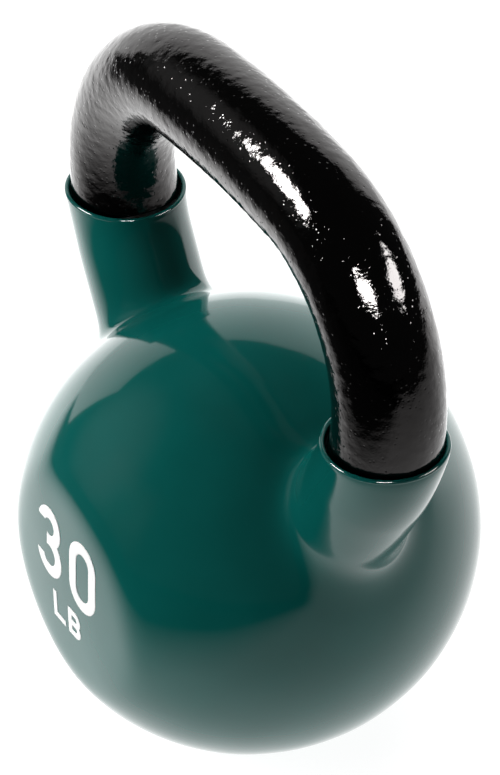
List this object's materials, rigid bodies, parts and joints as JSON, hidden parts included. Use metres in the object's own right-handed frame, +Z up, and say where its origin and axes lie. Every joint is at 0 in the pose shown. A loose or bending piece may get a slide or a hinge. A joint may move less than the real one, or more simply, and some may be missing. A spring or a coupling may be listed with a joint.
{
  "type": "kettlebell",
  "caption": "Vinyl-jacketed cast iron kettlebell with an enamelled loop handle, two horns and a flat base, for swings, presses and carries.",
  "frame": {"origin": "middle of the flat base, under the ball's centre", "axes": "+Z up, +X along the handle from horn to horn, -Y towards the marked front face"},
  "size_m": [0.1956, 0.1332, 0.2294],
  "materials": {
    "iron": "raw grey iron as cast, with a fine sand texture; hidden under the enamel and the jacket",
    "enamel": "glossy black baked enamel, lumpy where it follows the rough casting",
    "vinyl": "smooth glossy dark green dipped vinyl, faintly uneven, with light scuffs",
    "ink": "opaque white pad-printed ink, satin, slightly worn at its edges"
  },
  "bodies": {
    "root": {"iron_casting": "iron", "handle_enamel": "enamel", "vinyl_jacket": "vinyl", "figure_3": "ink", "figure_0": "ink", "letter_l": "ink", "letter_b": "ink"}
  },
  "joints": []
}
